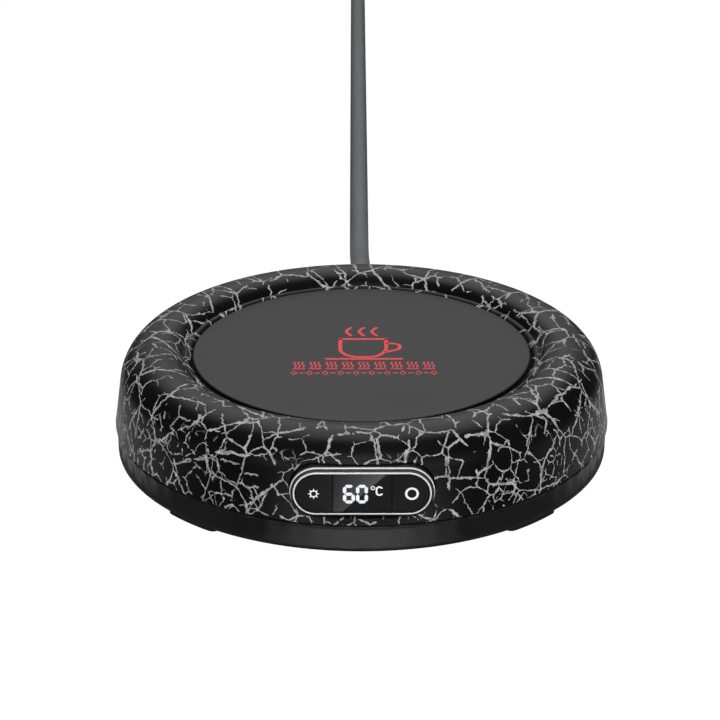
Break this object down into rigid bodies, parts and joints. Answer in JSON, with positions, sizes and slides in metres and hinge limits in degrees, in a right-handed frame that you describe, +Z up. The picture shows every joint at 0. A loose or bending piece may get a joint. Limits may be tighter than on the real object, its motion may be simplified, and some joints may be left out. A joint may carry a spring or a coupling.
{
  "type": "electric mug warmer",
  "caption": "Low round electric mug warmer with a sunken heating plate, crackle-finish shell, front display with two push keys and a mains cord.",
  "frame": {"origin": "on the body's axis, level with the surface that the feet stand on", "axes": "+Z up, display faces -Y, cord leaves towards +Y, +X to the right seen from the display"},
  "size_m": [0.2081, 0.6121, 0.03],
  "materials": {
    "shell": "satin crackle lacquer",
    "base": "satin",
    "plate": "satin dark coating",
    "seal": "matte",
    "heater": "matte",
    "insulation": "felt",
    "sheet_steel": "plain",
    "screw_steel": "zinc plated",
    "sensor": "resin",
    "sensor_wire": "satin",
    "fuse_metal": "plain",
    "wire": "satin",
    "board": "satin",
    "core_plastic": "matte",
    "film_box": "satin",
    "can": "satin",
    "fuse_glass": "clear",
    "terminal_plastic": "satin",
    "connector_plastic": "satin",
    "ribbon": "satin",
    "bezel": "polished",
    "frame_plastic": "satin",
    "window": "gloss",
    "light": "lit",
    "plunger_plastic": "satin",
    "relief": "satin",
    "cord_sheath": "satin",
    "tie": "satin",
    "plug": "satin",
    "blade": "plain",
    "foot": "matte"
  },
  "bodies": {
    "housing": {"upper_shell": "shell", "base_cover": "base", "heating_plate": "plate", "plate_gasket": "seal", "heater_element": "heater", "insulation_pad": "insulation", "heater_bracket": "sheet_steel", "bracket_screws": "screw_steel", "thermistor": "sensor", "sensor_leads": "sensor_wire", "thermal_fuse": "fuse_metal", "fuse_clip": "sheet_steel", "heater_leads": "wire", "main_board": "board", "board_screws": "screw_steel", "transformer": "core_plastic", "film_capacitor": "film_box", "smoothing_capacitor": "can", "line_fuse": "fuse_glass", "triac": "core_plastic", "control_chip": "core_plastic", "terminal_block": "terminal_plastic", "lead_connector": "connector_plastic", "sensor_connector": "connector_plastic", "ribbon_header": "connector_plastic", "ribbon_cable": "ribbon", "bezel_ring": "bezel", "display_frame": "frame_plastic", "display_window": "window", "digit_windows": "light", "mode_switch": "core_plastic", "power_switch": "core_plastic", "digit_module": "core_plastic", "display_board": "board", "display_bracket": "frame_plastic", "display_screws": "screw_steel", "base_screws": "screw_steel", "strain_relief": "relief", "inner_cord": "cord_sheath", "core_wires": "wire", "cord_clamp": "frame_plastic", "clamp_screws": "screw_steel", "cord": "cord_sheath", "cord_coil": "cord_sheath", "coil_tie": "tie", "cord_end": "cord_sheath", "plug_body": "plug", "plug_blades": "blade", "foot_front_left": "foot", "foot_front_right": "foot", "foot_rear_left": "foot", "foot_rear_right": "foot"},
    "mode_key": {"mode_key": "window", "mode_symbol": "light", "mode_plunger": "plunger_plastic"},
    "power_key": {"power_key": "window", "power_symbol": "light", "power_plunger": "plunger_plastic"}
  },
  "joints": [
    {"name": "mode_key_press", "type": "slide", "parent": "housing", "child": "mode_key", "axis": [0, 1, 0], "range_m": [0, 0.0004], "stiffness_N_per_m": 400},
    {"name": "power_key_press", "type": "slide", "parent": "housing", "child": "power_key", "axis": [0, 1, 0], "range_m": [0, 0.0004], "stiffness_N_per_m": 400}
  ]
}
